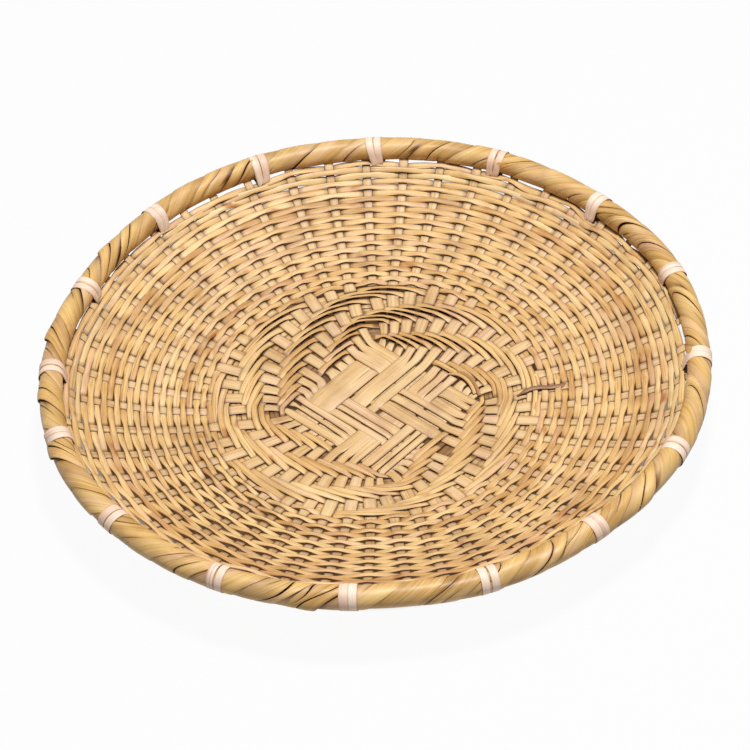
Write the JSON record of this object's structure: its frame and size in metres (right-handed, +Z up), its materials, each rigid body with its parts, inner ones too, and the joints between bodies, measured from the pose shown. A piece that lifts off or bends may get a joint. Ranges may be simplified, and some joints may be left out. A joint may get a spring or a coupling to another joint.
{
  "type": "zaru bamboo basket",
  "caption": "Round, shallow tray basket of woven split bamboo, with a twill base, a plain-weave wall and a wound rim bound on by pale ties.",
  "frame": {"origin": "middle of the base, on the surface that the basket stands on", "axes": "+Z up, out of the bowl; +X and +Y in the plane of the base, with the base strips at 45 degrees to them and +X to the right in the picture"},
  "size_m": [0.3124, 0.3116, 0.0397],
  "materials": {
    "stake_bamboo": "split bamboo, matte, with fine lengthwise fibres",
    "weaver_bamboo": "thin split bamboo, matte, straw coloured, varying from strip to strip",
    "core_bamboo": "split bamboo, rough",
    "wrap_bamboo": "wide shaved bamboo, olive tan, with a soft sheen along its fibres",
    "tie_bamboo": "peeled pale strip, matte"
  },
  "bodies": {
    "root": {"base_strip_1": "stake_bamboo", "base_strip_2": "stake_bamboo", "base_strip_3": "stake_bamboo", "base_strip_4": "stake_bamboo", "base_strip_5": "stake_bamboo", "base_strip_6": "stake_bamboo", "base_strip_7": "stake_bamboo", "base_strip_8": "stake_bamboo", "base_weaver_1": "weaver_bamboo", "base_weaver_2": "weaver_bamboo", "base_weaver_3": "weaver_bamboo", "base_weaver_4": "weaver_bamboo", "wall_weaver_1": "weaver_bamboo", "wall_weaver_2": "weaver_bamboo", "wall_weaver_3": "weaver_bamboo", "wall_weaver_4": "weaver_bamboo", "wall_weaver_5": "weaver_bamboo", "wall_weaver_6": "weaver_bamboo", "wall_weaver_7": "weaver_bamboo", "wall_weaver_8": "weaver_bamboo", "rim_core": "core_bamboo", "rim_wrap_1": "wrap_bamboo", "rim_wrap_2": "wrap_bamboo", "rim_tie_01": "tie_bamboo", "rim_tie_02": "tie_bamboo", "rim_tie_03": "tie_bamboo", "rim_tie_04": "tie_bamboo", "rim_tie_05": "tie_bamboo", "rim_tie_06": "tie_bamboo", "rim_tie_07": "tie_bamboo", "rim_tie_08": "tie_bamboo", "rim_tie_09": "tie_bamboo", "rim_tie_10": "tie_bamboo", "rim_tie_11": "tie_bamboo", "rim_tie_12": "tie_bamboo", "rim_tie_13": "tie_bamboo", "rim_tie_14": "tie_bamboo", "rim_tie_15": "tie_bamboo", "rim_tie_16": "tie_bamboo"}
  },
  "joints": []
}
